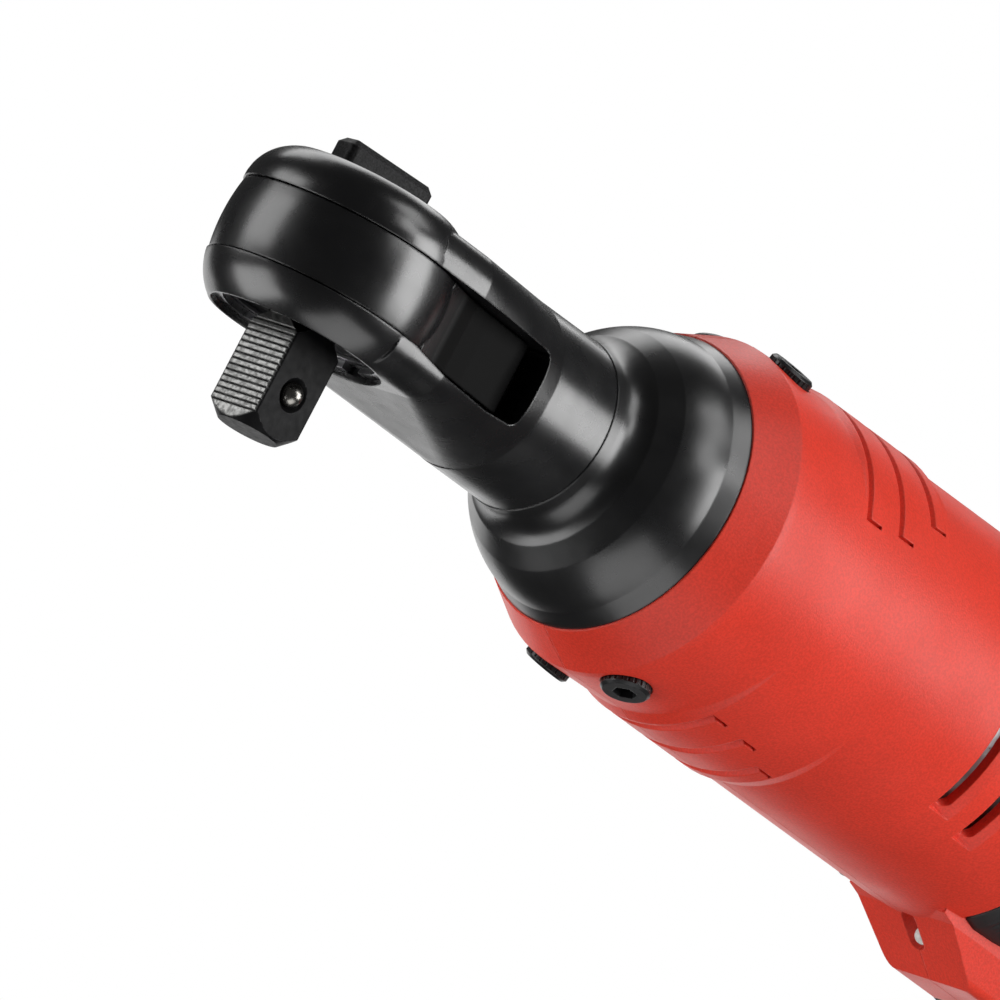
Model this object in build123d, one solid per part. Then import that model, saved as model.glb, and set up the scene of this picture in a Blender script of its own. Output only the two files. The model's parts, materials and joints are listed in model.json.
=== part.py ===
from build123d import *
import os
from math import acos, atan, cos, degrees, pi, radians, sin, sqrt, tan

# Cordless electric ratchet with a 3/8 inch square drive, in millimetres.
# Row frame: origin at the centre of the drive's tip, +X to the battery, +Z to the knob.
# The model is drawn about the tool's long axis and lifted by AXIS_HEIGHT on export.

# ---- driving dimensions ----
AXIS_HEIGHT = 24.8          # drive tip to long axis
SQUARE = 9.525              # 3/8 inch drive, across the flats
SQUARE_TOP_Z = -8.9         # where the square runs into the flange

RIBS, RIB_PITCH = 15, 0.88  # cross ribs on the drive's front face
BALL_Z = -18.2              # height of the socket-retaining ball
BALL_R, BALL_Y = 1.7, -4.3

HEAD_R, YOKE_R = 16.3, 16.6
HEAD_TOP, HEAD_BOTTOM = 12.2, -10.7
BRIDGE_TOP = 11.4
SLOT_TOP, SLOT_BOTTOM = 5.6, -5.2
SLOT_END_X = 31.0
NECK_R = 13.26
NECK_END_X = 46.4
SPIGOT_R, SPIGOT_END_X = 12.0, 62.0
CRANK_BORE_R = 8.6
UPPER_BORE_R, LOWER_BORE_R = 9.05, 12.9

TEETH = 72                  # ratchet teeth inside the yoke
CREST_R, ROOT_R = 12.78, 13.5
YOKE_SWING = 5.0            # degrees each way, one tooth
CRANK_PIN_X0, CRANK_PIN_X1 = 25.2, 31.6
THROW = 27.8 * tan(radians(YOKE_SWING))
BUSHING_R = 3.8
FORK_GAP = 8.0              # half the gap between the yoke's prongs

PAWL_PIVOT_X = -7.5
PAWL_ROCK = 8.0
PAWL_TIP_R = 13.0           # tip radius when it sits in a tooth gap
PAWL_TIP_ANGLE = 145.0      # a multiple of the tooth pitch
SELECTOR_R = 3.2
KNOB_TURN = -9.0
KNOB_LENGTH, KNOB_WIDTH, KNOB_HEIGHT = 15.4, 4.8, 4.1

CAP_END_X, CAP_R = 64.9, 22.15
CASE_R, CASE_BORE_R, CASE_END_X = 21.9, 19.4, 92.0
MODULE = 0.7
SUN_TEETH, PLANET_TEETH, RING_TEETH = 12, 18, 48
PRESSURE_ANGLE = 25.0
GEAR_X0, GEAR_X1 = 70.6, 79.6
PLANETS = 3

MOTOR_R, MOTOR_X0, MOTOR_X1 = 18.5, 94.0, 146.0
BARREL_R, BARREL_END_X = 25.1, 146.0
BARREL_BORE_R = 23.0
CUSHION_R, CUSHION_LIFT = 24.6, 1.2     # raised band that carries the gills
GILL_X, GILL_REACH, GILL_HOOK = (87.2, 94.3, 101.4), (64, 62, 50), 3.4
VENT_W = 2.7
CAP_SCREW_X, CAP_SCREW_SEAT, CAP_SCREW_TOP = 76.0, 22.9, 26.4
GRIP_X0, GRIP_X1 = 150.4, 205.0
CORE_R, CORE_BORE_R = 21.2, 18.9
LOBE_HALF_W, LOBE_FOOT_W, LOBE_Z = 9.7, 8.4, -30.4
RAIL_Z = -25.0              # underside of the handle beside the trigger
TRIGGER_X0, TRIGGER_X1 = 169.0, 203.0
TRIGGER_PIVOT = (165.5, -26.6)
COLLAR_W, COLLAR_H = 52.0, 50.0
COLLAR_END_X = 232.0
STEM_R, STEM_X0 = 21.3, 210.0
BATTERY_END_X = 284.0
CELL_R, CELL_LENGTH, CELL_X0 = 9.15, 65.0, 215.5

RAMP = Pos(148.9, 0, -24.5) * Rot(0, 30.3, 0)   # frame on the lamp ramp, z inwards
SEAM_GAP = 0.05             # each shell stops this far from the mid plane
FIT = 0.05                  # running clearance on a radius

MIN3 = (Align.CENTER, Align.CENTER, Align.MIN)


# ---- drawing helpers ----
def cyl_x(r, x0, x1, y=0.0, z=0.0):
    return Pos(x0, y, z) * Rot(0, 90, 0) * Cylinder(r, x1 - x0, align=MIN3)


def tube_x(r_out, r_in, x0, x1, y=0.0, z=0.0):
    return cyl_x(r_out, x0, x1, y, z) - cyl_x(r_in, x0 - 1, x1 + 1, y, z)


def cyl_y(r, y0, y1, x=0.0, z=0.0):
    return Pos(x, y0, z) * Rot(-90, 0, 0) * Cylinder(r, y1 - y0, align=MIN3)


def cyl_z(r, z0, z1, x=0.0, y=0.0):
    return Pos(x, y, z0) * Cylinder(r, z1 - z0, align=MIN3)


def box(x0, x1, y0, y1, z0, z1):
    size = Box(x1 - x0, y1 - y0, z1 - z0)
    return Pos((x0 + x1) / 2, (y0 + y1) / 2, (z0 + z1) / 2) * size


def turned_x(*profile):
    """A solid of revolution about the long axis from (x, r) points."""
    face = Plane.XZ * make_face(Polyline(*profile, close=True))
    return revolve(face, axis=Axis.X)


def prism_x(points, x0, x1):
    return extrude(Plane.YZ.offset(x0) * make_face(Polyline(*points, close=True)), x1 - x0)


def prism_z(points, z0, z1):
    return extrude(Plane.XY.offset(z0) * make_face(Polyline(*points, close=True)), z1 - z0)


def prism_y(points, y0, y1):
    """Points are (x, z)."""
    return extrude(Plane.XZ.offset(-y1) * make_face(Polyline(*points, close=True)), y1 - y0)


def rounded_bar(x0, x1, width, height, corner, z=0.0):
    return extrude(Plane.YZ.offset(x0) * Pos(0, z) * RectangleRounded(width, height, corner), x1 - x0)


def about_x(shape, angle):
    return Rot(angle, 0, 0) * shape


def polar(r, angle):
    return (r * cos(radians(angle)), r * sin(radians(angle)))


def mirrored(shape):
    return mirror(shape, about=Plane.XZ)


def save(name, shape):
    lifted = Pos(0, 0, AXIS_HEIGHT) * shape
    solids = lifted.solids()
    result = solids[0] if len(solids) == 1 else Compound(children=list(solids))
    result.label = name
    export_step(result, f"parts/{name}.step")


# ---- gear outlines ----
def involute(base, r):
    roll = sqrt(max((r / base) ** 2 - 1, 0.0))
    return roll - atan(roll)


def gear_outline(teeth, r_low, r_high, thinning, phase=0.0):
    """Involute teeth between two radii; thinning narrows each tooth on the pitch circle."""
    pitch_r = MODULE * teeth / 2
    base = pitch_r * cos(radians(PRESSURE_ANGLE))
    half = (pi * MODULE / 2 - thinning) / 2 / pitch_r + involute(base, pitch_r)
    radii = [r_low + (r_high - r_low) * i / 3 for i in range(4)]
    points = []
    for k in range(teeth):
        middle = radians(phase) + 2 * pi * k / teeth
        for r in radii:
            angle = middle - half + involute(base, r)
            points.append((r * cos(angle), r * sin(angle)))
        for r in reversed(radii):
            angle = middle + half - involute(base, r)
            points.append((r * cos(angle), r * sin(angle)))
    return points


def spur_gear(teeth, bore, phase, x0=GEAR_X0, x1=GEAR_X1):
    pitch_r = MODULE * teeth / 2
    outline = gear_outline(teeth, pitch_r - 1.2 * MODULE, pitch_r + 0.95 * MODULE, 0.14, phase)
    return prism_x(outline, x0, x1) - cyl_x(bore, x0 - 1, x1 + 1)


# ---- head ----
def make_head():
    crown = Edge.make_three_point_arc((HEAD_R, SLOT_TOP), (15.3, 9.5), (12.2, HEAD_TOP))
    belly = Edge.make_three_point_arc((HEAD_R, SLOT_BOTTOM), (15.3, -8.1), (13.2, HEAD_BOTTOM))
    core = Polyline((12.2, HEAD_TOP), (0, HEAD_TOP), (0, HEAD_BOTTOM), (13.2, HEAD_BOTTOM))
    wall = Edge.make_line((HEAD_R, SLOT_BOTTOM), (HEAD_R, SLOT_TOP))
    outline = Wire([crown, belly, wall] + list(core.edges()))
    disk = revolve(Plane.XZ * make_face(outline), axis=Axis.Z)
    mid_z = (BRIDGE_TOP + HEAD_BOTTOM) / 2
    height = BRIDGE_TOP - HEAD_BOTTOM
    front = Plane.YZ.offset(2.0) * Pos(0, mid_z) * RectangleRounded(32.2, height, 4.6)
    waist = Plane.YZ.offset(12.5) * Pos(0, mid_z) * RectangleRounded(31.6, height, 4.6)
    rear = Plane.YZ.offset(34.5) * RectangleRounded(2 * NECK_R - 0.1, 2 * NECK_R - 0.1, NECK_R - 0.1)
    bridge = loft([front, waist, rear], ruled=True)
    head = disk + bridge + cyl_x(NECK_R, 34.0, NECK_END_X)
    head += cyl_x(SPIGOT_R, NECK_END_X, SPIGOT_END_X)
    scoop = [(24.0, SLOT_BOTTOM - 1.1), (13.0, SLOT_BOTTOM - 1.1), (5.0, SLOT_BOTTOM)]
    slot = prism_y([(-30, SLOT_TOP), (SLOT_END_X, SLOT_TOP), (SLOT_END_X, SLOT_BOTTOM - 0.4)]
                   + scoop + [(-30, SLOT_BOTTOM)], -20, 20)
    rear_edges = slot.edges().filter_by(Axis.Y).group_by(Axis.X)[-1]
    slot = fillet(rear_edges, 1.5)
    head -= slot
    head -= cyl_x(CRANK_BORE_R, 24.4, SPIGOT_END_X + 1)
    head -= cyl_x(9.55, 55.0, SPIGOT_END_X + 1)
    head -= cyl_z(UPPER_BORE_R, SLOT_TOP - 1, HEAD_TOP + 1)
    head -= cyl_z(LOWER_BORE_R, HEAD_BOTTOM - 1, SLOT_BOTTOM + 1)
    head -= cyl_z(13.35, -9.8, -8.7)
    return head


def make_yoke():
    z0, z1 = SLOT_BOTTOM + 0.2, SLOT_TOP - 0.2
    rim = YOKE_R - 0.5
    bulge = Edge.make_three_point_arc((rim, z0), (YOKE_R, (z0 + z1) / 2), (rim, z1))
    core = Polyline((rim, z1), (0, z1), (0, z0), (rim, z0))
    body = revolve(Plane.XZ * make_face(Wire([bulge] + list(core.edges()))), axis=Axis.Z)
    side = [(8, 14.2), (12, 12.6), (16, 11.5), (20, 10.9), (24.5, 10.4), (29.2, 9.9)]
    tail = prism_z([(x, -y) for x, y in side] + side[::-1], z0, z1)
    body += tail
    gap = box(23.8, 40, -FORK_GAP, FORK_GAP, -9, 9)
    body -= fillet(gap.edges().filter_by(Axis.Z).group_by(Axis.X)[0], 2.0)
    teeth = []
    for k in range(TEETH):
        teeth.append(polar(ROOT_R, 360 * k / TEETH))
        teeth.append(polar(CREST_R, 360 * (k + 0.5) / TEETH))
    body -= prism_z(teeth, z0 - 1, z1 + 1)
    return body


def turned_about_pivot(point, angle):
    """A point of the XY plane turned about the pawl's pivot."""
    dx, dy = point[0] - PAWL_PIVOT_X, point[1]
    turn = radians(angle)
    return (PAWL_PIVOT_X + dx * cos(turn) - dy * sin(turn), dx * sin(turn) + dy * cos(turn))


def make_pawl():
    """Double-ended pawl; each wedge is drawn where it engages and turned back to neutral."""
    tip = polar(PAWL_TIP_R, PAWL_TIP_ANGLE)
    flanks = [polar(1.5, PAWL_TIP_ANGLE + 180 + side * 26) for side in (1, -1)]
    inner, outer = [(tip[0] + dx, tip[1] + dy) for dx, dy in flanks]
    wedge = [turned_about_pivot(point, -PAWL_ROCK) for point in (inner, tip, outer)]
    upper = [(-5.6, 4.4)] + wedge + [(-10.6, 3.4)]
    lower = [(x, -y) for x, y in reversed(upper)]
    body = prism_z(upper + lower, -2.9, 2.9)
    return body - cyl_z(1.55, -4, 4, PAWL_PIVOT_X)


def make_anvil():
    drum = cyl_z(12.2, SLOT_BOTTOM + 0.1, SLOT_TOP - 0.2)
    journal = cyl_z(UPPER_BORE_R - FIT, SLOT_TOP - 0.2, HEAD_TOP - 0.1)
    flange = cyl_z(LOWER_BORE_R - FIT, -8.1, SLOT_BOTTOM + 0.1)
    neck = cyl_z(SQUARE / 2 + 0.3, SQUARE_TOP_Z - 0.2, -8.0)
    tip_z = -AXIS_HEIGHT
    length = SQUARE_TOP_Z - tip_z
    square = Pos(0, 0, tip_z) * extrude(RectangleRounded(SQUARE, SQUARE, 0.5), length)
    turned = Pos(0, 0, tip_z) * Cone(4.5, 4.5 + 2.6, 2.6, align=MIN3)
    turned += cyl_z(7.1, tip_z + 2.6, SQUARE_TOP_Z - 2.6)
    turned += Pos(0, 0, SQUARE_TOP_Z - 2.6) * Cone(7.1, SQUARE / 2 + 0.1, 2.6, align=MIN3)
    anvil = drum + journal + flange + neck + (square & turned)
    for k in range(RIBS):
        z = tip_z + 1.9 + RIB_PITCH * k
        groove = prism_y([(-SQUARE / 2 - 0.3, z + 0.36), (-SQUARE / 2 - 0.3, z - 0.36),
                          (-SQUARE / 2 + 0.26, z)], -6, 6)
        anvil -= groove
    anvil -= box(-14, -4.3, -9.4, 9.4, -3.0, 3.0)
    anvil -= cyl_z(1.5, -4.8, 4.8, PAWL_PIVOT_X)
    anvil -= cyl_z(SELECTOR_R + FIT, -3.4, HEAD_TOP + 1)
    anvil -= cyl_z(5.9, -1.7, 1.7)
    anvil -= cyl_y(BALL_R + FIT, -8, 0.6, 0, BALL_Z)
    crater = Cone(2.5, BALL_R + FIT, 0.8, align=MIN3)
    anvil -= Pos(0, -SQUARE / 2 - 0.05, BALL_Z) * Rot(-90, 0, 0) * crater
    return anvil


def make_knob():
    outline = RectangleRounded(KNOB_LENGTH, KNOB_WIDTH, 1.2)
    bar = Pos(0, 0, HEAD_TOP + 0.1) * extrude(outline, KNOB_HEIGHT)
    bar = chamfer(bar.faces().sort_by(Axis.Z)[-1].edges(), 0.9)
    knob = Rot(0, 0, KNOB_TURN) * bar + cyl_z(7.2, HEAD_TOP + 0.05, HEAD_TOP + 0.7)
    knob += cyl_z(SELECTOR_R, -3.3, HEAD_TOP + 0.2)
    knob -= cyl_x(1.25, -6, -0.4)
    return knob


def make_retaining_ring():
    ring = cyl_z(13.3, -9.75, -8.75) - cyl_z(11.5, -10, -8)
    return ring - box(9, 16, -1.6, 1.6, -11, -8)


def coil_spring(radius, wire, length, turns):
    """A compression spring that stands on XY and winds up Z."""
    path = Helix(pitch=length / turns, height=length, radius=radius)
    section = Plane(origin=path @ 0, z_dir=path % 0) * Circle(wire / 2)
    return sweep(section, path=path)


# ---- drive train ----
def make_crankshaft():
    pin = cyl_x(2.5, CRANK_PIN_X0, CRANK_PIN_X1 + 0.2, 0, THROW)
    web = cyl_x(7.6, CRANK_PIN_X1, 35.8)
    web -= cyl_x(3.0, 33.4, 36.5, 0, -4.0)
    shaft = cyl_x(5.0, 35.8, 66.2)
    return pin + web + shaft


def make_bushing():
    return tube_x(BUSHING_R, 2.5, 25.6, 30.8, 0, THROW)


def make_needle_bearing():
    shell = tube_x(CRANK_BORE_R, 7.4, 37.0, 45.0)
    rollers = [about_x(cyl_x(1.1, 37.6, 44.4, 6.2), 30 * k) for k in range(12)]
    return Compound(children=[shell] + rollers)


def make_ball_bearing(x0, x1, bore, outer):
    middle = (x0 + x1) / 2
    track = (bore + outer) / 2
    ball = (outer - bore) * 0.3
    groove = Pos(middle, 0, 0) * Rot(0, 90, 0) * Torus(track, ball)
    wall = (outer - bore) * 0.28
    inner = tube_x(bore + wall, bore, x0, x1) - groove
    outer_race = tube_x(outer, outer - wall, x0, x1) - groove
    balls = [about_x(Pos(middle, track, 0) * Sphere(ball - 0.01), 40 * k) for k in range(9)]
    return Compound(children=[inner, outer_race] + balls)


def make_front_cap():
    """Flared front with a butt joint to the neck, and a sleeve that holds the gears."""
    land = Edge.make_line((NECK_END_X, NECK_R + 0.12), (48.2, NECK_R + 0.12))
    cove = Edge.make_three_point_arc((48.2, NECK_R + 0.12), (50.6, 14.1), (52.2, 15.8))
    flare = Edge.make_line((52.2, 15.8), (55.0, 18.3))
    crown = Edge.make_three_point_arc((55.0, 18.3), (58.0, 20.0), (62.0, 21.15))
    skirt = Edge.make_line((62.0, 21.15), (CAP_END_X, CAP_R))
    inside = Polyline((CAP_END_X, CAP_R), (CAP_END_X, CASE_R), (CASE_END_X, CASE_R),
                      (CASE_END_X, CASE_BORE_R), (65.6, CASE_BORE_R), (65.6, 16.2),
                      (62.4, 13.6), (62.4, SPIGOT_R + 0.02), (NECK_END_X, SPIGOT_R + 0.02),
                      (NECK_END_X, NECK_R + 0.12))
    profile = Wire([land, cove, flare, crown, skirt] + list(inside.edges()))
    cap = revolve(Plane.XZ * make_face(profile), axis=Axis.X)
    for angle in screw_angles():
        cap -= about_x(cyl_z(2.0, 18, 24, CAP_SCREW_X), angle)
    return cap


def screw_angles():
    lean = degrees(acos(24.5 / sqrt(24.5 ** 2 + 8 ** 2)))
    return [lean, -lean, 180 + lean, 180 - lean]


def make_carrier():
    plate = tube_x(15.6, 5.0, 66.2, 69.8)
    for k in range(PLANETS):
        plate -= about_x(cyl_x(2.0, 60, 70, 10.5), 120 * k)
        plate -= about_x(cyl_x(2.6, 60, 72, 11.5), 120 * k + 60)
    return plate + cyl_x(5.0, 66.2, 69.2)


def make_planet_pins():
    return [about_x(cyl_x(2.0, 66.4, 80.0, 10.5), 120 * k) for k in range(PLANETS)]


def planet_gear(k):
    gear = spur_gear(PLANET_TEETH, 2.0 + FIT, 180 / PLANET_TEETH)
    return about_x(Pos(0, 10.5, 0) * gear, 120 * k)


def make_ring_gear():
    pitch_r = MODULE * RING_TEETH / 2
    spaces = gear_outline(RING_TEETH, pitch_r - 0.95 * MODULE, pitch_r + 1.3 * MODULE,
                          -0.14, 180 / RING_TEETH)
    blank = cyl_x(CASE_BORE_R - 0.03, 70.2, 80.2)
    return blank - prism_x(spaces, 69, 82)


def make_sun():
    return spur_gear(SUN_TEETH, 1.6, 0.0, GEAR_X0, 81.0)


# ---- motor ----
def make_motor_plate():
    plate = tube_x(CASE_BORE_R - 0.03, 6.2, 88.6, 93.9)
    for side in (1, -1):
        plate -= cyl_x(1.55, 88, 95, side * 12.5)
        plate -= cyl_x(3.1, 88, 90.8, side * 12.5)
    return plate


def make_motor_can():
    can = cyl_x(MOTOR_R, MOTOR_X0, MOTOR_X1 - 5) - cyl_x(17.1, MOTOR_X0 + 1.6, MOTOR_X1)
    can += cyl_x(6.0, MOTOR_X0 - 3.0, MOTOR_X0 + 0.5)
    can -= cyl_x(3.0, MOTOR_X0 - 4, MOTOR_X0 + 3)
    for side in (1, -1):
        can -= cyl_x(1.55, MOTOR_X0 - 1, MOTOR_X0 + 3, side * 12.5)
        can -= cyl_x(3.4, MOTOR_X0 - 1, MOTOR_X0 + 3, 0, side * 11.5)
    return can


def make_magnets():
    shell = tube_x(17.0, 13.4, 98.0, 127.0)
    return [shell & box(90, 130, -20, 20, 5.5, 20), shell & box(90, 130, -20, 20, -20, -5.5)]


def make_armature():
    stack = cyl_x(12.9, 99.0, 125.0) - cyl_x(1.6, 98, 127)
    for k in range(5):
        stack -= about_x(box(98, 126, 5.2, 11.2, -2.6, 2.6), 72 * k)
        stack -= about_x(box(98, 126, 11.0, 14, -0.9, 0.9), 72 * k)
    return stack


def make_windings():
    coils = []
    for k in range(5):
        coil = box(96.6, 127.4, 5.9, 10.6, -2.1, 2.1)
        coils.append(about_x(coil, 72 * k))
    return coils


def make_commutator():
    drum = tube_x(5.0, 1.6, 128.4, 137.4)
    for k in range(5):
        drum -= about_x(box(127, 138, 4.2, 6, -0.25, 0.25), 72 * k + 36)
    return drum


def make_fan():
    hub = tube_x(4.4, 1.6, 138.0, 140.2) + tube_x(13.0, 4.0, 138.0, 138.9)
    for k in range(9):
        hub += about_x(box(138.4, 140.8, 5.2, 12.6, -0.45, 0.45), 40 * k)
    return hub


def make_end_cap():
    cap = cyl_x(MOTOR_R, MOTOR_X1 - 4.9, MOTOR_X1)
    cap -= cyl_x(15.4, MOTOR_X1 - 6, MOTOR_X1 - 2.2)
    cap += cyl_x(5.6, MOTOR_X1 - 4.6, MOTOR_X1 + 1.6)
    cap -= cyl_x(3.0, MOTOR_X1 - 6, MOTOR_X1)
    for side in (1, -1):
        cap -= box(MOTOR_X1 - 3, MOTOR_X1 + 1, side * 11 - 1.5, side * 11 + 1.5, -3, 3)
    return cap


def make_brushes():
    brushes = []
    for side in (1, -1):
        arm = box(130.6, 135.2, 5.15, 11.6, -2.0, 2.0)
        holder = box(129.8, 136.0, 11.6, 14.6, -2.8, 2.8)
        piece = arm + holder
        brushes.append(piece if side == 1 else mirrored(piece))
    return brushes


# ---- housing ----
def housing_core():
    return turned_x((CAP_END_X, 0), (CAP_END_X, 22.4), (71.8, BARREL_R + 0.3),
                    (73.0, BARREL_R + 0.35), (84.0, BARREL_R + 0.1), (112.0, BARREL_R),
                    (BARREL_END_X, BARREL_R), (149.8, 24.9), (GRIP_X0, 24.5),
                    (GRIP_X0, CORE_R), (GRIP_X1 + 2, CORE_R), (GRIP_X1 + 2, 0))


def lobe():
    side = [(146.4, -18.0), (146.4, -23.8), (148.9, -24.5), (159.0, LOBE_Z), (168.4, LOBE_Z),
            (168.4, -18.0)]
    body = prism_y(side, -LOBE_HALF_W, LOBE_HALF_W)
    section = [(LOBE_HALF_W, -17.0), (LOBE_HALF_W, -24.5), (LOBE_FOOT_W, LOBE_Z - 0.1)]
    body &= prism_x(section + [(-y, z) for y, z in section[::-1]], 140.0, 170.0)
    low = body.edges().filter_by(Axis.X).group_by(Axis.Z)[0]
    body = fillet(low, 1.6)
    rails = box(168.3, GRIP_X1 + 1, -LOBE_HALF_W, LOBE_HALF_W, RAIL_Z, -16.0)
    return body + rails


def collar():
    """Round grip to rounded-rectangle battery mouth."""
    sizes = ((GRIP_X1, 46.4, 46.4, 22.6), (212.0, 48.2, 47.4, 19.6), (219.0, 51.2, 49.4, 15.4),
             (224.0, COLLAR_W, COLLAR_H, 14.0))
    sections = [Plane.YZ.offset(x) * RectangleRounded(w, h, r) for x, w, h, r in sizes]
    return loft(sections) + rounded_bar(224.0, COLLAR_END_X, COLLAR_W, COLLAR_H, 14.0)


def side_wedge(start, end, x0, x1):
    """Everything between two angles from the top, on the -Y side."""
    wedge = [(0, 0)]
    steps = 8
    for i in range(steps + 1):
        angle = radians(start + (end - start) * i / steps)
        wedge.append((-60 * sin(angle), 60 * cos(angle)))
    return prism_x(wedge, x0, x1)


def cushion():
    """Gently raised bands over the top and the bottom of the barrel."""
    band = turned_x((82.5, 0), (82.5, CUSHION_R - 1.2), (86.8, CUSHION_R), (105.0, CUSHION_R),
                    (109.5, CUSHION_R - 1.2), (109.5, 0))
    return Pos(0, 0, CUSHION_LIFT) * band + Pos(0, 0, -CUSHION_LIFT) * band


def step_cut(x, start, end, low, high, length):
    """A step down to radius low that ramps out again over its length."""
    ramp = turned_x((x, low), (x + 0.5, low), (x + length, high), (x, high))
    return ramp & side_wedge(start, end, x - 1, x + length + 1)


def gill_cut(x, start, end):
    """A narrow groove round the raised band, with a short hook to the rear at its low end."""
    groove = step_cut(x, start, end, BARREL_R - 0.55, BARREL_R + 0.9, 1.9)
    low_end = end if start < 90 else start
    hook = Pos(x + GILL_HOOK / 2, 0, BARREL_R) * Box(GILL_HOOK, 0.6, 1.5)
    return groove + about_x(hook, low_end)


def vent_cut(x, start, end):
    """A slot through the wall with a scooped edge behind it."""
    middle = x + VENT_W / 2
    slot = tube_x(BARREL_R + 2, BARREL_BORE_R - 1, x, x + VENT_W) & side_wedge(start, end, x, x + 3)
    for angle in (start, end):
        slot += about_x(cyl_z(VENT_W / 2, BARREL_BORE_R - 1, BARREL_R + 2, middle), angle)
    return slot + step_cut(x + 0.02, start - 1, end + 5, BARREL_R - 0.95, BARREL_R + 0.2, 5.2)


def hollow():
    space = cyl_x(CASE_R + FIT + 0.1, 60, CASE_END_X + 0.5)
    space += cyl_x(BARREL_BORE_R, CASE_END_X + 0.5, 147.5)
    space += cyl_x(CORE_BORE_R, 147.0, 207.4)
    space += cyl_x(STEM_R + 0.35, 207.3, COLLAR_END_X + 1)
    return space


def case_screw_places():
    return [(x, z) for x in (100.0, 143.0) for z in (21.4, -21.4)]


def make_shell():
    """The whole clamshell before it is cut in two at the mid plane."""
    shell = housing_core() + cushion() + lobe() + collar()
    shell -= hollow()
    shell -= box(156.6, 168.5, -6.6, 6.6, -28.7, -17.0)
    shell -= box(168.3, TRIGGER_X1 + 1.0, -6.9, 6.9, -40.0, -17.0)
    for x, z in case_screw_places():
        shell += cyl_y(2.7, -11.0, 11.0, x, z) & cyl_x(BARREL_R - 0.4, x - 4, x + 4)
    for x, reach in zip(GILL_X, GILL_REACH):
        for start, end in ((-2, reach), (180 - reach / 2, 182)):
            cut = gill_cut(x, start, end)
            shell -= cut + mirrored(cut)
    for x, start, end in ((125.0, 56, 123), (132.5, 60, 127), (140.0, 64, 112)):
        cut = vent_cut(x, start, end)
        shell -= cut + mirrored(cut)
    for angle in screw_angles():
        shell -= about_x(cyl_z(3.65, CAP_SCREW_SEAT - 0.05, 30, CAP_SCREW_X), angle)
        shell -= about_x(cyl_z(2.2, 20, 30, CAP_SCREW_X), angle)
    shell -= RAMP * Pos(3.5, 0, -2) * extrude(SlotOverall(6.6, 2.8), 8.4)
    shell -= cyl_y(1.5, -7.8, 7.8, *TRIGGER_PIVOT)
    for side in (1, -1):
        y0, y1 = sorted((side * 19.0, side * 24.3))
        shell -= box(222.0, COLLAR_END_X + 1, y0, y1, -6.4, 6.4)
    return shell


def half(shape, side):
    reach = 80
    low, high = (SEAM_GAP, reach) if side > 0 else (-reach, -SEAM_GAP)
    return shape & box(40, 300, low, high, -reach, reach)


def make_housing_half(shell, side):
    part = half(shell, side)
    for x, z in case_screw_places():
        part -= cyl_y(1.25, -7.2, 6.5, x, z)
        if side > 0:
            part -= cyl_y(1.5, -1.0, 7.0, x, z)
            part -= cyl_y(2.9, 6.0, 30.0, x, z)
    return part


def make_grip():
    """Rubber over the handle core, open along the underside for the trigger."""
    rubber = turned_x((GRIP_X0 + 0.05, CORE_R + 0.03), (GRIP_X0 + 0.05, 24.8), (152.6, 25.3),
                      (157.0, 25.2), (165.0, 24.5), (176.0, 23.3), (188.0, 23.0),
                      (198.0, 23.4), (GRIP_X1 - 0.8, 23.9), (GRIP_X1 - 0.05, 23.2),
                      (GRIP_X1 - 0.05, CORE_R + 0.03))
    return rubber - box(140, 210, -LOBE_HALF_W - 0.1, LOBE_HALF_W + 0.1, -40, 0)


# ---- controls ----
def make_trigger():
    side = [(TRIGGER_X0, -30.2), (TRIGGER_X0 + 3, -30.9), (191.0, -30.9), (TRIGGER_X1 - 4, -30.2),
            (TRIGGER_X1, -28.6), (TRIGGER_X1, -28.0), (TRIGGER_X0, -28.0)]
    paddle = prism_y(side, -8.2, 8.2)
    paddle += box(TRIGGER_X0, TRIGGER_X1, -6.6, 6.6, -28.5, -23.6)
    paddle -= box(TRIGGER_X0 + 2, TRIGGER_X1 - 2, -4.8, 4.8, -29.0, -20)
    tongue = box(163.6, TRIGGER_X0 + 2.2, -5.4, 5.4, -28.4, -24.9)
    pivot_x, pivot_z = TRIGGER_PIVOT
    paddle += tongue
    paddle -= cyl_y(1.5 + FIT, -9, 9, pivot_x, pivot_z)
    return paddle + box(179.5, 184.5, -2.5, 2.5, -29.2, -26.55)


def make_switch():
    body = box(170.0, 194.0, -6.4, 6.4, -17.6, -5.0)
    return body - cyl_z(2.3, -18, -10.5, 182.0)


def make_plunger():
    return cyl_z(2.2, -26.3, -13.0, 182.0)


def make_board():
    board = box(171.0, 203.0, -12.0, 12.0, -3.4, -1.8)
    chips = [box(174 + 9 * k, 180 + 9 * k, -4, 4, -1.8, 0.6) for k in range(3)]
    cans = [cyl_z(3.2, -1.8, 6.4, 178.0 + 8.5 * k, 8.2) for k in range(2)]
    sink = box(190, 201, -11.5, -6.0, -1.8, 7.0)
    for piece in chips + cans + [sink]:
        board += piece
    return board


def make_lamp():
    return RAMP * (cyl_z(1.3, 1.5, 6.2, 5.3) + Pos(5.3, 0, 1.5) * Sphere(1.3))


def make_terminals():
    block = box(203.4, 207.0, -13.0, 13.0, -7.5, 7.5)
    for y in (-8.0, 0.0, 8.0):
        block += box(206.9, 213.0, y - 0.4, y + 0.4, -3.2, 3.2)
    return block


# ---- battery ----
def cell_places():
    return [polar(10.75, 90 + 120 * k) for k in range(3)]


def battery_envelope():
    base = rounded_bar(COLLAR_END_X + 0.4, BATTERY_END_X, COLLAR_W, COLLAR_H, 14.0)
    end = base.faces().sort_by(Axis.X)[-1].edges()
    base = fillet(end, 3.5)
    return base + cyl_x(STEM_R, STEM_X0, COLLAR_END_X + 1)


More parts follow.
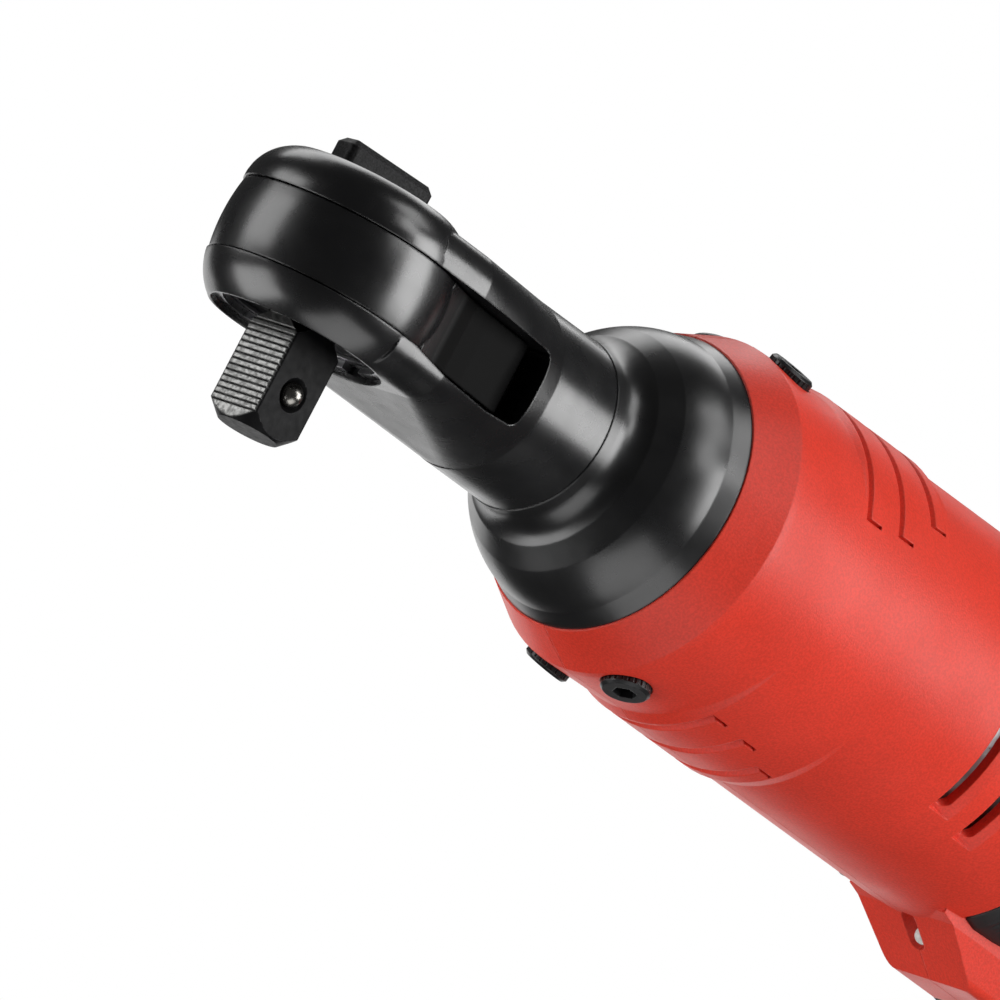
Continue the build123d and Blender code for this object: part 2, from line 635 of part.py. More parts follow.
def make_battery_shell():
    shell = battery_envelope()
    shell -= cyl_x(20.0, STEM_X0 + 5.2, BATTERY_END_X - 2.6)
    for y in (-8.0, 0.0, 8.0):
        shell -= box(STEM_X0 - 1, 214.6, y - 0.8, y + 0.8, -3.8, 3.8)
    for side in (1, -1):
        shell -= side_box(side, 219.5, 252.0, 20.2, 30.0, -6.0, 6.0)
        shell -= side_box(side, 236.0, 252.2, 21.0, 30.0, -8.2, 8.2)
    for k in range(4):
        x = 258.0 + 5.2 * k
        band = rounded_bar(x, x + 2.2, 60, 60, 14.0)
        band -= rounded_bar(x - 1, x + 4, COLLAR_W - 1.6, COLLAR_H - 1.6, 13.2)
        shell -= band
    return shell


def side_box(side, x0, x1, y0, y1, z0, z1):
    piece = box(x0, x1, y0, y1, z0, z1)
    return piece if side > 0 else mirrored(piece)


def make_latch(side):
    button = side_box(side, 236.4, 251.6, 23.4, 26.2, -7.6, 7.6)
    for k in range(4):
        x = 239.0 + 3.2 * k
        button -= side_box(side, x, x + 1.3, 25.6, 27.0, -6.0, 6.0)
    arm = side_box(side, 223.5, 240.0, 22.6, 24.0, -5.4, 5.4)
    return button + arm


def make_cells():
    cells = []
    for y, z in cell_places():
        can = cyl_x(CELL_R, CELL_X0, CELL_X0 + CELL_LENGTH, y, z)
        cells.append(can)
    return cells


# ---- fasteners ----
def cap_screw(angle):
    head = cyl_z(3.5, CAP_SCREW_SEAT, CAP_SCREW_TOP, CAP_SCREW_X)
    head = chamfer(head.edges().filter_by(GeomType.CIRCLE).sort_by(Axis.Z)[-1], 0.4)
    for k in range(24):
        x, y = polar(3.55, 15 * k)
        head -= cyl_z(0.2, CAP_SCREW_SEAT + 0.4, CAP_SCREW_TOP - 0.5, CAP_SCREW_X + x, y)
    socket = Pos(CAP_SCREW_X, 0, CAP_SCREW_TOP - 2.0) * extrude(RegularPolygon(1.75, 6), 3.0)
    shank = cyl_z(2.0, CASE_BORE_R + 0.2, CAP_SCREW_SEAT, CAP_SCREW_X)
    return about_x(head - socket + shank, angle)


def case_screw(x, z):
    head = cyl_y(2.6, 6.0, 8.2, x, z)
    socket = Plane(origin=(x, 6.8, z), z_dir=(0, 1, 0)) * RegularPolygon(1.2, 6)
    return head - extrude(socket, 3.0) + cyl_y(1.25, -7.0, 6.1, x, z)


def motor_screw(side):
    return cyl_x(2.9, 89.0, 90.7, side * 12.5) + cyl_x(1.5, 90.5, 95.5, side * 12.5)


def main():
    os.makedirs("parts", exist_ok=True)
    save("ratchet_head", make_head())
    save("ratchet_yoke", make_yoke())
    save("anvil", make_anvil())
    save("pawl", make_pawl())
    save("pawl_pin", cyl_z(1.5, -4.7, 4.7, PAWL_PIVOT_X))
    save("reverse_knob", make_knob())
    save("selector_plunger", cyl_x(1.2, -4.2, -2.4) + Pos(-4.2, 0, 0) * Sphere(1.2))
    save("selector_spring", Pos(-0.5, 0, 0) * Rot(0, -90, 0) * coil_spring(0.9, 0.25, 1.8, 4))
    save("detent_ball", Pos(0, BALL_Y, BALL_Z) * Sphere(BALL_R))
    save("detent_spring", Pos(0, 0.5, BALL_Z) * Rot(90, 0, 0) * coil_spring(1.4, 0.3, 1.6, 4))
    save("retaining_ring", make_retaining_ring())
    save("thrust_washer", cyl_z(12.6, -8.65, -8.15) - cyl_z(10.6, -9, -8))
    save("crankshaft", make_crankshaft())
    save("drive_bushing", make_bushing())
    save("needle_bearing", make_needle_bearing())
    save("crank_ball_bearing", make_ball_bearing(55.2, 60.2, 5.0, 9.5))
    save("gear_case", make_front_cap())
    save("planet_carrier", make_carrier())
    save("planet_pins", Compound(children=make_planet_pins()))
    for k in range(PLANETS):
        save(f"planet_gear_{k + 1}", planet_gear(k))
    save("ring_gear", make_ring_gear())
    save("sun_pinion", make_sun())
    save("motor_plate", make_motor_plate())
    save("motor_screws", Compound(children=[motor_screw(1), motor_screw(-1)]))
    save("motor_can", make_motor_can())
    save("motor_magnets", Compound(children=make_magnets()))
    save("motor_shaft", cyl_x(1.6, 70.2, 145.8))
    save("motor_armature", make_armature())
    save("motor_windings", Compound(children=make_windings()))
    save("motor_commutator", make_commutator())
    save("motor_fan", make_fan())
    save("motor_bushings", Compound(children=[tube_x(3.0, 1.6, 91.2, 95.4),
                                              tube_x(3.0, 1.6, 142.0, 145.9)]))
    save("motor_end_cap", make_end_cap())
    save("carbon_brushes", Compound(children=make_brushes()))
    shell = make_shell()
    save("housing_left", make_housing_half(shell, -1))
    save("housing_right", make_housing_half(shell, 1))
    grip = make_grip()
    save("grip_left", half(grip, -1))
    save("grip_right", half(grip, 1))
    save("cap_screws", Compound(children=[cap_screw(a) for a in screw_angles()]))
    save("case_screws", Compound(children=[case_screw(x, z) for x, z in case_screw_places()]))
    save("trigger_paddle", make_trigger())
    save("trigger_pin", cyl_y(1.5, -7.7, 7.7, *TRIGGER_PIVOT))
    save("trigger_switch", make_switch())
    save("switch_plunger", make_plunger())
    save("control_board", make_board())
    save("work_lamp", make_lamp())
    save("tool_terminals", make_terminals())
    battery = make_battery_shell()
    save("battery_case_left", half(battery, -1))
    save("battery_case_right", half(battery, 1))
    save("battery_cells", Compound(children=make_cells()))
    save("latch_left", make_latch(-1))
    save("latch_right", make_latch(1))


main()
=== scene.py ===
import json
import math

import bpy
from mathutils import Matrix, Vector


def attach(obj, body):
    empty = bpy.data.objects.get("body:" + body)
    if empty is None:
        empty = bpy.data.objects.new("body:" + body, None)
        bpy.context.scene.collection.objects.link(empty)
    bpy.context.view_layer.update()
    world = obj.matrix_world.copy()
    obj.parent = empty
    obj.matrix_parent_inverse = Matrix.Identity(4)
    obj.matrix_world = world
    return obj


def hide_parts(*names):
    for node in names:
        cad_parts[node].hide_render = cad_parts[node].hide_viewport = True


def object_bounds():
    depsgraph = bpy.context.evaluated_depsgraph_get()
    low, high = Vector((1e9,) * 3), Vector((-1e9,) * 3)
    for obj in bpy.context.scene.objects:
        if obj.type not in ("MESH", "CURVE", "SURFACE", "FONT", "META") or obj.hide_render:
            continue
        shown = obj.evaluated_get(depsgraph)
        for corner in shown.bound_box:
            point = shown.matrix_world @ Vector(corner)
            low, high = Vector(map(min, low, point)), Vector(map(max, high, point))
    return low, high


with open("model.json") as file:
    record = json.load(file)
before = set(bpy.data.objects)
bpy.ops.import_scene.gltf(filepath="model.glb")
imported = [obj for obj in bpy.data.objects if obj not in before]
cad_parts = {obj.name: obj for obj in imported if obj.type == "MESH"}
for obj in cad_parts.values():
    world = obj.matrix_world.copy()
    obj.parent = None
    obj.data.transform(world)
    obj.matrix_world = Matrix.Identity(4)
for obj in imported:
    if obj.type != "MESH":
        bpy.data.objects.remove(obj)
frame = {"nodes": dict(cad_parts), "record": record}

MM = 0.001
CAD_BOX = [list(corner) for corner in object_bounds()]
NODES = frame["nodes"]


# ---- camera: long lens, from ahead of the tool, to its left and a little below ----
CAMERA_RIGHT = Vector((0.5968, -0.6593, 0.4574))
CAMERA_DOWN = Vector((0.4379, -0.2100, -0.8741))
CAMERA_AIM = Vector((53.91, 7.51, 14.66)) * MM
CAMERA_DISTANCE = 6.3
VIEW_WIDTH = 134.84 * MM                # what the picture spans at the aim
SENSOR_WIDTH = 18.0                     # in millimetres, as the lens is


def make_camera():
    forward = CAMERA_RIGHT.cross(CAMERA_DOWN).normalized()
    data = bpy.data.cameras.new("camera")
    data.sensor_width = SENSOR_WIDTH
    data.lens = SENSOR_WIDTH * CAMERA_DISTANCE / VIEW_WIDTH
    data.clip_start = 0.1
    data.clip_end = 100.0
    camera = bpy.data.objects.new("camera", data)
    bpy.context.scene.collection.objects.link(camera)
    axes = Matrix((CAMERA_RIGHT, -CAMERA_DOWN, -forward)).transposed().to_4x4()
    axes.translation = CAMERA_AIM - forward * CAMERA_DISTANCE
    camera.matrix_world = axes
    bpy.context.scene.camera = camera


# ---- studio, in metres ----
STUDIO_MIDDLE = Vector((0.06, 0.0, 0.02))
BACKDROP_LEVEL, FILL_LEVEL = 1.0, 0.05
LIGHTS = [
    # name, direction from the tool, distance, width and height, brightness
    ("key", (0.51, -0.82, 0.24), 0.9, (0.54, 0.6), 6.6),
    ("high", (0.06, -0.80, 0.60), 0.9, (0.26, 0.3), 4.0),
    ("top", (0.19, -0.47, 0.85), 0.9, (0.4, 0.4), 2.8),
    ("left", (-0.82, 0.52, 0.17), 0.8, (0.5, 0.4), 3.2),
    ("low_left", (-0.68, 0.38, -0.62), 0.9, (0.7, 0.6), 3.2),
    ("card", (0.67, 0.72, -0.16), 0.9, (1.4, 0.5), 1.2),
    ("back", (0.25, 0.62, 0.75), 0.9, (0.9, 0.4), 2.4),
    ("under", (0.1, -0.5, -0.85), 0.9, (0.8, 0.8), 1.5),
]


def softbox(name, direction, distance, size, brightness):
    """A rectangular light of even brightness that faces the tool."""
    data = bpy.data.lights.new(name, "AREA")
    data.shape = "RECTANGLE"
    data.size, data.size_y = size
    data.energy = brightness * math.pi * size[0] * size[1]
    light = bpy.data.objects.new(name, data)
    bpy.context.scene.collection.objects.link(light)
    light.location = STUDIO_MIDDLE + Vector(direction).normalized() * distance
    light.rotation_euler = (STUDIO_MIDDLE - light.location).to_track_quat("-Z", "Y").to_euler()


def make_world():
    """White behind the tool, dim where it lights the tool or is mirrored in it."""
    world = bpy.data.worlds.new("studio")
    world.use_nodes = True
    tree = world.node_tree
    path = tree.nodes.new("ShaderNodeLightPath")
    level = tree.nodes.new("ShaderNodeMapRange")
    level.inputs["To Min"].default_value = FILL_LEVEL
    level.inputs["To Max"].default_value = BACKDROP_LEVEL
    tree.links.new(path.outputs["Is Camera Ray"], level.inputs["Value"])
    background = tree.nodes["Background"]
    background.inputs["Color"].default_value = (1, 1, 1, 1)
    tree.links.new(level.outputs[0], background.inputs["Strength"])
    bpy.context.scene.world = world


def make_studio():
    make_world()
    for light in LIGHTS:
        softbox(*light)
    bpy.context.scene.view_settings.view_transform = "Standard"


# ---- floor, in metres ----
FLOOR_REACH = 4.0
FLOOR_GREY, FLOOR_GLOW = 0.55, 0.4
FLOOR_FADE = (0.35, 1.1)                # it thins out between these distances from the origin


def highest(tree, value, *others):
    """The highest of several sockets."""
    for other in others:
        node = tree.nodes.new("ShaderNodeMath")
        node.operation = "MAXIMUM"
        tree.links.new(value, node.inputs[0])
        tree.links.new(other, node.inputs[1])
        value = node.outputs[0]
    return value


def floor_material():
    """Pale and softly lit, clear from below, far out, and to the light that falls on the tool."""
    material = bpy.data.materials.new("floor")
    material.use_nodes = True
    tree = material.node_tree
    tree.nodes.clear()
    output = tree.nodes.new("ShaderNodeOutputMaterial")
    mix = tree.nodes.new("ShaderNodeMixShader")
    diffuse = tree.nodes.new("ShaderNodeBsdfDiffuse")
    diffuse.inputs["Color"].default_value = (FLOOR_GREY, FLOOR_GREY, FLOOR_GREY, 1)
    glow = tree.nodes.new("ShaderNodeEmission")
    glow.inputs["Strength"].default_value = FLOOR_GLOW
    pale = tree.nodes.new("ShaderNodeAddShader")
    tree.links.new(diffuse.outputs[0], pale.inputs[0])
    tree.links.new(glow.outputs[0], pale.inputs[1])
    clear = tree.nodes.new("ShaderNodeBsdfTransparent")
    geometry = tree.nodes.new("ShaderNodeNewGeometry")
    path = tree.nodes.new("ShaderNodeLightPath")
    place = tree.nodes.new("ShaderNodeTexCoord")
    distance = tree.nodes.new("ShaderNodeVectorMath")
    distance.operation = "LENGTH"
    tree.links.new(place.outputs["Object"], distance.inputs[0])
    fade = tree.nodes.new("ShaderNodeMapRange")
    fade.inputs["From Min"].default_value, fade.inputs["From Max"].default_value = FLOOR_FADE
    tree.links.new(distance.outputs["Value"], fade.inputs["Value"])
    clearness = highest(tree, fade.outputs[0], geometry.outputs["Backfacing"], path.outputs["Is Shadow Ray"],
                        path.outputs["Is Glossy Ray"], path.outputs["Is Diffuse Ray"])
    tree.links.new(clearness, mix.inputs[0])
    tree.links.new(pale.outputs[0], mix.inputs[1])
    tree.links.new(clear.outputs[0], mix.inputs[2])
    tree.links.new(mix.outputs[0], output.inputs["Surface"])
    return material


def make_floor():
    low, reach = CAD_BOX[0][2], FLOOR_REACH
    corners = [(-reach, -reach, low), (reach, -reach, low), (reach, reach, low), (-reach, reach, low)]
    mesh = bpy.data.meshes.new("floor")
    mesh.from_pydata(corners, [], [(0, 1, 2, 3)])
    mesh.materials.append(floor_material())
    floor = bpy.data.objects.new("floor", mesh)
    bpy.context.scene.collection.objects.link(floor)


# ---- materials, in millimetres ----
VALUE_A, VALUE_B, VALUE_OUT = 2, 3, 0           # a Mix node's sockets for numbers
COLOUR_A, COLOUR_B, COLOUR_OUT = 6, 7, 2        # and for colours
BEVEL_SAMPLES = 4


class Shader:
    """A Principled material in object coordinates with a few procedural layers."""

    def __init__(self, name, colour, roughness, metallic=0.0):
        self.material = bpy.data.materials.new(name)
        self.material.use_nodes = True
        self.tree = self.material.node_tree
        self.bsdf = self.tree.nodes["Principled BSDF"]
        self.bsdf.inputs["Metallic"].default_value = metallic
        self.colour = colour
        self.roughness = roughness
        coordinates = self.tree.nodes.new("ShaderNodeTexCoord")
        self.place = coordinates.outputs["Object"]
        self.normal = None

    def link(self, source, target):
        self.tree.links.new(source, target)

    def noise(self, size, detail=3.0, stretch=(1, 1, 1)):
        """Noise whose blobs are about size millimetres across."""
        mapping = self.tree.nodes.new("ShaderNodeMapping")
        self.link(self.place, mapping.inputs["Vector"])
        scale = 1.0 / (size * MM)
        mapping.inputs["Scale"].default_value = [scale * s for s in stretch]
        node = self.tree.nodes.new("ShaderNodeTexNoise")
        node.inputs["Scale"].default_value = 1.0
        node.inputs["Detail"].default_value = detail
        self.link(mapping.outputs[0], node.inputs["Vector"])
        return node.outputs["Fac"]

    def ramp(self, source, low, high, start=0.3, end=0.7):
        """Goes from low to high as the source goes from start to end."""
        node = self.tree.nodes.new("ShaderNodeMapRange")
        node.inputs["From Min"].default_value = start
        node.inputs["From Max"].default_value = end
        node.inputs["To Min"].default_value = low
        node.inputs["To Max"].default_value = high
        self.link(source, node.inputs["Value"])
        return node.outputs[0]

    def mix_colour(self, factor, first, second):
        """Blends two colours, each a tuple or a socket."""
        node = self.tree.nodes.new("ShaderNodeMix")
        node.data_type = "RGBA"
        self.link(factor, node.inputs["Factor"])
        for socket, value in ((node.inputs[COLOUR_A], first), (node.inputs[COLOUR_B], second)):
            if isinstance(value, tuple):
                socket.default_value = (*value, 1)
            else:
                self.link(value, socket)
        return node.outputs[COLOUR_OUT]

    def vary(self, colour_shift, roughness_shift, size):
        """Uneven colour and gloss, in blobs of that size."""
        blobs = self.noise(size)
        darker = tuple(c * (1 - colour_shift) for c in self.colour)
        lighter = tuple(min(1.0, c * (1 + colour_shift)) for c in self.colour)
        self.shade = self.mix_colour(self.ramp(blobs, 0, 1), darker, lighter)
        smears = self.noise(size * 0.6, 5.0)
        low, high = self.roughness - roughness_shift, self.roughness + roughness_shift
        self.gloss = self.ramp(smears, low, high)
        return self

    def grain(self, size, depth, detail=2.0, stretch=(1, 1, 1)):
        """Fine bump of that size and depth."""
        bump = self.tree.nodes.new("ShaderNodeBump")
        bump.inputs["Strength"].default_value = 1.0
        bump.inputs["Distance"].default_value = depth * MM
        self.link(self.noise(size, detail, stretch), bump.inputs["Height"])
        if self.normal is not None:
            self.link(self.normal, bump.inputs["Normal"])
        self.normal = bump.outputs[0]
        return self

    def bevel(self, radius):
        node = self.tree.nodes.new("ShaderNodeBevel")
        node.samples = BEVEL_SAMPLES
        node.inputs["Radius"].default_value = radius * MM
        return node

    def soft_edges(self, radius):
        """Corners that catch the light as if rounded, and a mask of where they are."""
        plain = self.bevel(radius)
        geometry = self.tree.nodes.new("ShaderNodeNewGeometry")
        dot = self.tree.nodes.new("ShaderNodeVectorMath")
        dot.operation = "DOT_PRODUCT"
        self.link(plain.outputs[0], dot.inputs[0])
        self.link(geometry.outputs["Normal"], dot.inputs[1])
        self.corner = self.ramp(dot.outputs["Value"], 1.0, 0.0, 0.8, 0.99)
        rounded = self.bevel(radius)
        self.link(self.normal, rounded.inputs["Normal"])
        self.normal = rounded.outputs[0]
        return self

    def speckle(self, size, shift):
        """Fine dark grains in the colour."""
        grains = self.ramp(self.noise(size, 2.0), 0, 1, 0.35, 0.65)
        level = self.mix_colour(grains, (1 - shift, 1 - shift, 1 - shift), (1, 1, 1))
        node = self.tree.nodes.new("ShaderNodeMix")
        node.data_type = "RGBA"
        node.blend_type = "MULTIPLY"
        node.inputs["Factor"].default_value = 1.0
        self.link(self.shade, node.inputs[COLOUR_A])
        self.link(level, node.inputs[COLOUR_B])
        self.shade = node.outputs[COLOUR_OUT]
        return self

    def both(self, first, second):
        """One where two masks are one."""
        node = self.tree.nodes.new("ShaderNodeMath")
        node.operation = "MULTIPLY"
        node.use_clamp = True
        self.link(first, node.inputs[0])
        self.link(second, node.inputs[1])
        return node.outputs[0]

    def along(self, axis):
        """The place along one axis of the frame."""
        split = self.tree.nodes.new("ShaderNodeSeparateXYZ")
        self.link(self.place, split.inputs[0])
        return split.outputs[axis]

    def above(self, axis, edge):
        """A mask that starts across an edge given as two places on an axis."""
        return self.ramp(self.along(axis), 0, 1, edge[0] * MM, edge[1] * MM)

    def below(self, axis, edge):
        """A mask that stops across such an edge."""
        return self.ramp(self.along(axis), 1, 0, edge[0] * MM, edge[1] * MM)

    def show(self, mask, colour, roughness, metallic=None):
        """Another colour and gloss where the mask is one: a finish, wear or painted shade."""
        self.shade = self.mix_colour(mask, self.shade, colour)
        node = self.tree.nodes.new("ShaderNodeMix")
        self.link(mask, node.inputs["Factor"])
        self.link(self.gloss, node.inputs[VALUE_A])
        node.inputs[VALUE_B].default_value = roughness
        self.gloss = node.outputs[VALUE_OUT]
        if metallic is not None:
            metal = self.ramp(mask, self.bsdf.inputs["Metallic"].default_value, metallic, 0.0, 1.0)
            self.link(metal, self.bsdf.inputs["Metallic"])
        return self

    def worn_edges(self, colour, roughness, spread, metallic=None):
        """Rubbed corners broken up by noise."""
        broken = self.ramp(self.noise(spread, 4.0), 0, 1, 0.42, 0.62)
        return self.show(self.both(self.corner, broken), colour, roughness, metallic)

    def build(self):
        self.link(self.shade, self.bsdf.inputs["Base Color"])
        self.link(self.gloss, self.bsdf.inputs["Roughness"])
        self.link(self.normal, self.bsdf.inputs["Normal"])
        return self.material


# where the yoke's tail shows inside the head's fork, which is given painted shade: the faded edges of that
# box
TAIL_FRONT, TAIL_BACK = (9.5, 13.5), (30.6, 30.9)
FORK_FLOOR, FORK_ROOF = (19.5, 19.7), (30.2, 30.4)
# the drive's front face, where the rib crests are, and the top of its square part
CREST_EDGE = (-4.76, -4.56)
SQUARE_TOP = (16.0, 16.2)


def gloss_black():
    """Polished black oxide, with painted shade on the yoke's tail inside the fork, where it is darkened and
    dulled.
    """
    shader = Shader("gloss_black", (0.004, 0.004, 0.0045), 0.27)
    shader.bsdf.inputs["Specular IOR Level"].default_value = 0.95
    shader.vary(0.25, 0.035, 9.0).grain(0.35, 0.0025).grain(7.0, 0.03).soft_edges(0.4)
    shader.worn_edges((0.05, 0.05, 0.052), 0.25, 0.9)
    # painted shade: the yoke's tail in the fork's recess is darkened and its gloss dulled
    lengthways = shader.both(shader.above("X", TAIL_FRONT), shader.below("X", TAIL_BACK))
    upright = shader.both(shader.above("Z", FORK_FLOOR), shader.below("Z", FORK_ROOF))
    return shader.show(shader.both(lengthways, upright), (0.01, 0.01, 0.01), 0.6, 1.0).build()


def satin_black():
    shader = Shader("satin_black", (0.005, 0.005, 0.0055), 0.3)
    shader.bsdf.inputs["Specular IOR Level"].default_value = 0.9
    return shader.vary(0.25, 0.04, 9.0).grain(0.3, 0.004).soft_edges(0.4).build()


def ground_steel():
    shader = Shader("ground_steel", (0.42, 0.42, 0.43), 0.32, 1.0)
    return shader.vary(0.15, 0.08, 3.0).grain(0.25, 0.01, 3.0, (0.15, 1, 1)).soft_edges(0.1).build()


def ribbed_drive():
    """Black drive whose rib crests on the front face are ground bright."""
    shader = Shader("ribbed_drive", (0.005, 0.005, 0.0055), 0.45)
    shader.bsdf.inputs["Specular IOR Level"].default_value = 0.08
    shader.vary(0.3, 0.06, 2.0).grain(0.22, 0.008).soft_edges(0.22)
    shader.worn_edges((0.16, 0.16, 0.165), 0.3, 0.8, 0.7)
    crest = shader.both(shader.below("X", CREST_EDGE), shader.below("Z", SQUARE_TOP))
    scuffed = shader.ramp(shader.noise(0.5, 4.0), 0.55, 1.0, 0.35, 0.6)
    return shader.show(shader.both(crest, scuffed), (0.22, 0.22, 0.215), 0.28, 1.0).build()


def blasted_black():
    shader = Shader("blasted_black", (0.02, 0.02, 0.021), 0.5)
    shader.bsdf.inputs["Specular IOR Level"].default_value = 0.15
    shader.vary(0.3, 0.05, 1.5).grain(0.22, 0.045, 2.0).soft_edges(0.25).speckle(0.3, 0.85)
    return shader.worn_edges((0.06, 0.06, 0.062), 0.35, 0.6).build()


def screw_black():
    shader = Shader("screw_black", (0.022, 0.022, 0.023), 0.34, 0.5)
    shader.vary(0.3, 0.06, 1.5).grain(0.3, 0.008).soft_edges(0.15)
    return shader.worn_edges((0.2, 0.2, 0.2), 0.3, 0.5, 0.9).build()


def red_plastic():
    shader = Shader("red_plastic", (0.8, 0.05, 0.027), 0.42)
    shader.bsdf.inputs["Specular IOR Level"].default_value = 0.3
    shader.vary(0.05, 0.05, 14.0).grain(0.3, 0.03, 3.0).soft_edges(0.3).speckle(0.35, 0.16)
    return shader.worn_edges((0.9, 0.1, 0.06), 0.38, 1.2).build()


def black_plastic():
    shader = Shader("black_plastic", (0.016, 0.016, 0.018), 0.42)
    shader.vary(0.25, 0.06, 8.0).grain(0.4, 0.03, 3.0).soft_edges(0.3)
    return shader.worn_edges((0.04, 0.04, 0.042), 0.4, 1.0).build()


def rubber():
    shader = Shader("rubber", (0.012, 0.012, 0.013), 0.55)
    return shader.vary(0.3, 0.06, 5.0).grain(0.2, 0.012).build()


def chrome():
    shader = Shader("chrome", (0.3, 0.29, 0.27), 0.26, 1.0)
    return shader.vary(0.2, 0.05, 0.8).grain(0.5, 0.002).build()


def bronze():
    shader = Shader("bronze", (0.5, 0.33, 0.17), 0.38, 1.0)
    return shader.vary(0.2, 0.08, 2.0).grain(0.2, 0.01).build()


def copper():
    shader = Shader("copper", (0.62, 0.24, 0.1), 0.3, 1.0)
    return shader.vary(0.2, 0.08, 1.5).grain(0.4, 0.05, 1.0, (0.1, 1, 1)).build()


def zinc_plate():
    shader = Shader("zinc_plate", (0.55, 0.56, 0.57), 0.35, 1.0)
    return shader.vary(0.12, 0.1, 3.0).grain(0.3, 0.01).soft_edges(0.2).build()


def green_board():
    shader = Shader("green_board", (0.015, 0.11, 0.05), 0.35)
    return shader.vary(0.3, 0.1, 1.5).grain(0.5, 0.02).build()


def terminal_plastic():
    shader = Shader("terminal_plastic", (0.36, 0.27, 0.16), 0.5)
    return shader.vary(0.12, 0.08, 3.0).grain(0.4, 0.02).build()


def cell_wrap():
    shader = Shader("cell_wrap", (0.05, 0.16, 0.4), 0.3)
    return shader.vary(0.1, 0.08, 8.0).grain(1.5, 0.02).build()


def lamp_with_painted_glow():
    shader = Shader("lamp_with_painted_glow", (0.5, 0.5, 0.48), 0.08)
    shader.bsdf.inputs["Transmission Weight"].default_value = 0.6
    # painted glow: a faint emission that brightens the recessed lens as a glint would
    shader.bsdf.inputs["Emission Color"].default_value = (1, 1, 0.96, 1)
    shader.bsdf.inputs["Emission Strength"].default_value = 0.15
    return shader.vary(0.03, 0.05, 1.0).grain(0.5, 0.002).build()


def make_finishes():
    """One material for each of the record's material slots."""
    steel, zinc, plastic, red = ground_steel(), zinc_plate(), black_plastic(), red_plastic()
    return {
        "head_black": gloss_black(), "case_black": satin_black(), "drive_steel": ribbed_drive(),
        "knob_black": blasted_black(), "hard_steel": steel, "spring_steel": steel,
        "bearing_steel": steel, "ball_chrome": chrome(), "bushing_bronze": bronze(),
        "motor_zinc": zinc, "magnet_grey": plastic, "armature_iron": zinc,
        "winding_copper": copper(), "inner_plastic": plastic, "brush_carbon": plastic,
        "housing_red": red, "latch_red": red, "grip_rubber": rubber(), "screw_black": screw_black(),
        "trigger_black": plastic, "board_green": green_board(), "lamp_clear": lamp_with_painted_glow(),
        "terminal_tan": terminal_plastic(), "battery_black": plastic, "cell_steel": cell_wrap(),
    }


# ---- rubber grips with moulded ridges, in millimetres; angles are measured from the top ----
AXIS_Z = 24.8
GRIP_FRONT, GRIP_REAR = 150.45, 204.95
GRIP_PROFILE = [(150.45, 24.8), (152.6, 25.3), (157.0, 25.2), (165.0, 24.5), (176.0, 23.3), (188.0, 23.0),
                (198.0, 23.4), (204.2, 23.9), (204.95, 23.2)]
GRIP_BORE_R = 21.23
TRIGGER_GAP = 9.8                       # half the opening along the trigger
SEAM_ANGLE = 0.002                      # radians that keep the halves apart at the top
GRIP_COLUMNS, GRIP_ROWS = 270, 100
RIDGE_PITCH, RIDGE_DEPTH, RIDGE_SHAPE = 1.1, 0.22, 0.6
RIDGE_BOW, RIDGE_CURL = 9.0, 1.6        # how far the arcs reach along the tool
RIDGE_FRONT, RIDGE_REAR, RIDGE_RUNOUT = 1.4, 1.6, 1.5
RIDGE_TOP, RIDGE_BOTTOM, RIDGE_TURN = 10, 152, 4        # degrees


def clamp(value):
    return min(1.0, max(0.0, value))


def profile_radius(x):
    """The grip's outer radius, straight between the profile's points."""
    for (x0, r0), (x1, r1) in zip(GRIP_PROFILE, GRIP_PROFILE[1:]):
        if x <= x1:
            return r0 + (r1 - r0) * (x - x0) / (x1 - x0)
    return GRIP_PROFILE[-1][1]


def ridge(x, angle):
    """Depth of the curved lines: nested arcs that rise from the trigger's side to the top."""
    bow = RIDGE_BOW * math.cos(angle) + RIDGE_CURL * math.cos(2 * angle)
    wave = 0.5 + 0.5 * math.cos(2 * math.pi * (x + bow) / RIDGE_PITCH)
    front = clamp((x - GRIP_FRONT - RIDGE_FRONT) / RIDGE_RUNOUT)
    rear = clamp((GRIP_REAR - RIDGE_REAR - x) / RIDGE_RUNOUT)
    top = clamp((math.degrees(angle) - RIDGE_TOP) / RIDGE_TURN)
    bottom = clamp((RIDGE_BOTTOM - math.degrees(angle)) / RIDGE_TURN)
    return RIDGE_DEPTH * wave ** RIDGE_SHAPE * min(front, rear) * min(top, bottom)


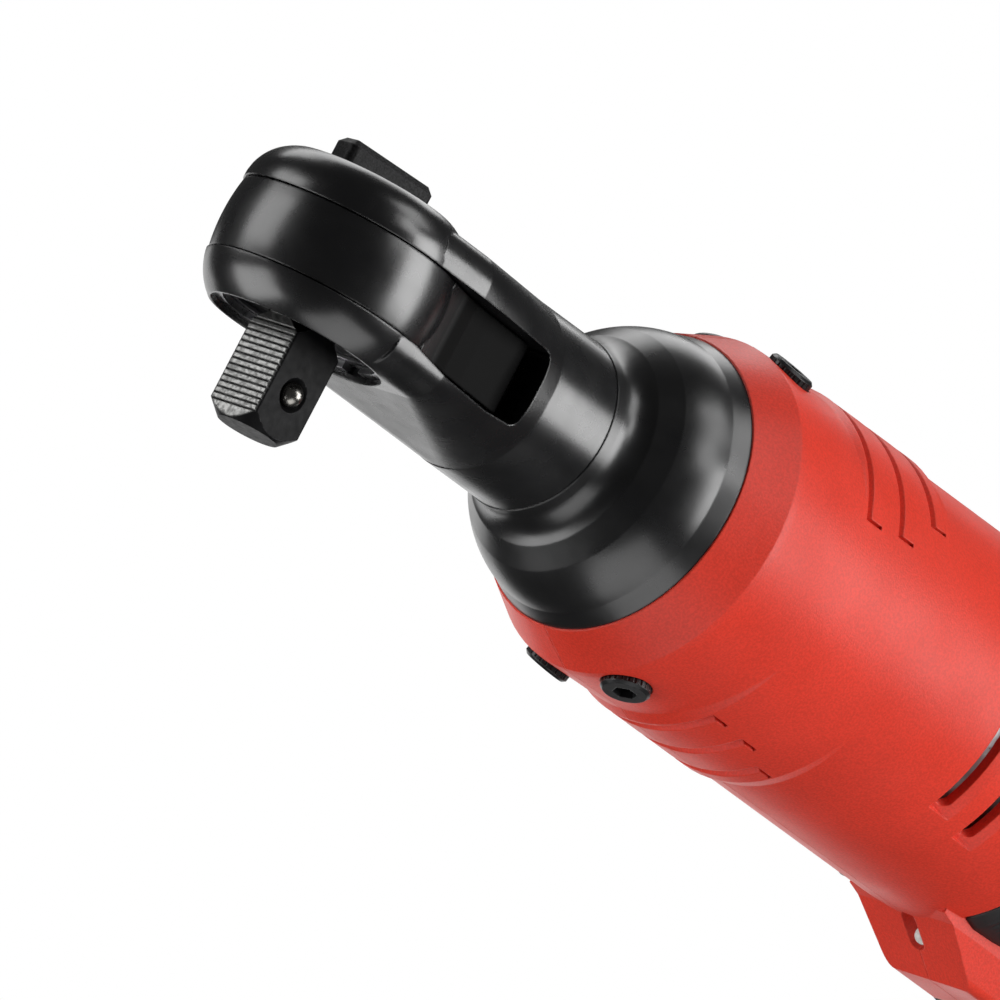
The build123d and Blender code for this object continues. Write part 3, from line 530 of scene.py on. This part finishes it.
def grip_points(side):
    """The ridged outside and the plain bore, column by column from front to rear."""
    points = []
    for ridged in (True, False):
        for i in range(GRIP_COLUMNS + 1):
            x = GRIP_FRONT + (GRIP_REAR - GRIP_FRONT) * i / GRIP_COLUMNS
            radius = profile_radius(x) if ridged else GRIP_BORE_R
            sweep = math.pi - math.asin(TRIGGER_GAP / radius) - SEAM_ANGLE
            for j in range(GRIP_ROWS + 1):
                angle = SEAM_ANGLE + sweep * j / GRIP_ROWS
                r = radius - ridge(x, angle) if ridged else radius
                points.append((x * MM, side * r * math.sin(angle) * MM, (AXIS_Z + r * math.cos(angle)) * MM))
    return points


def grip_faces(side):
    """Quads over both layers, and the rims that close them."""
    column = GRIP_ROWS + 1
    layer = (GRIP_COLUMNS + 1) * column
    faces = []
    for i in range(GRIP_COLUMNS):
        for j in range(GRIP_ROWS):
            a = i * column + j
            b, c, d = a + 1, a + column + 1, a + column
            faces.append((a, b, c, d))
            faces.append((layer + d, layer + c, layer + b, layer + a))
    for i in range(GRIP_COLUMNS):
        for j in (0, GRIP_ROWS):
            a, b = i * column + j, (i + 1) * column + j
            rim = (a, b, layer + b, layer + a)
            faces.append(rim if j == 0 else rim[::-1])
    for j in range(GRIP_ROWS):
        for i in (0, GRIP_COLUMNS):
            a, b = i * column + j, i * column + j + 1
            rim = (b, a, layer + a, layer + b)
            faces.append(rim if i == 0 else rim[::-1])
    return [face[::-1] for face in faces] if side > 0 else faces


def make_grip(name, side, finish):
    """One closed rubber half, open at the trigger."""
    mesh = bpy.data.meshes.new(name)
    mesh.from_pydata(grip_points(side), [], grip_faces(side))
    mesh.polygons.foreach_set("use_smooth", [True] * len(mesh.polygons))
    mesh.materials.append(finish)
    grip = bpy.data.objects.new(name, mesh)
    bpy.context.scene.collection.objects.link(grip)
    return grip


def paint_nodes(finishes):
    for entry in frame["record"]["subparts"]:
        mesh = NODES[entry["node"]].data
        mesh.materials.clear()
        mesh.materials.append(finishes[entry["material_slot"]])


def make_grips(finishes):
    for name, side, cad_node in (("rubber_left", -1, "grip_left"), ("rubber_right", 1, "grip_right")):
        grip = make_grip(name, side, finishes["grip_rubber"])
        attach(grip, "tool")
        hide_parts(cad_node)


make_camera()
make_studio()
make_floor()
FINISHES = make_finishes()
paint_nodes(FINISHES)
make_grips(FINISHES)
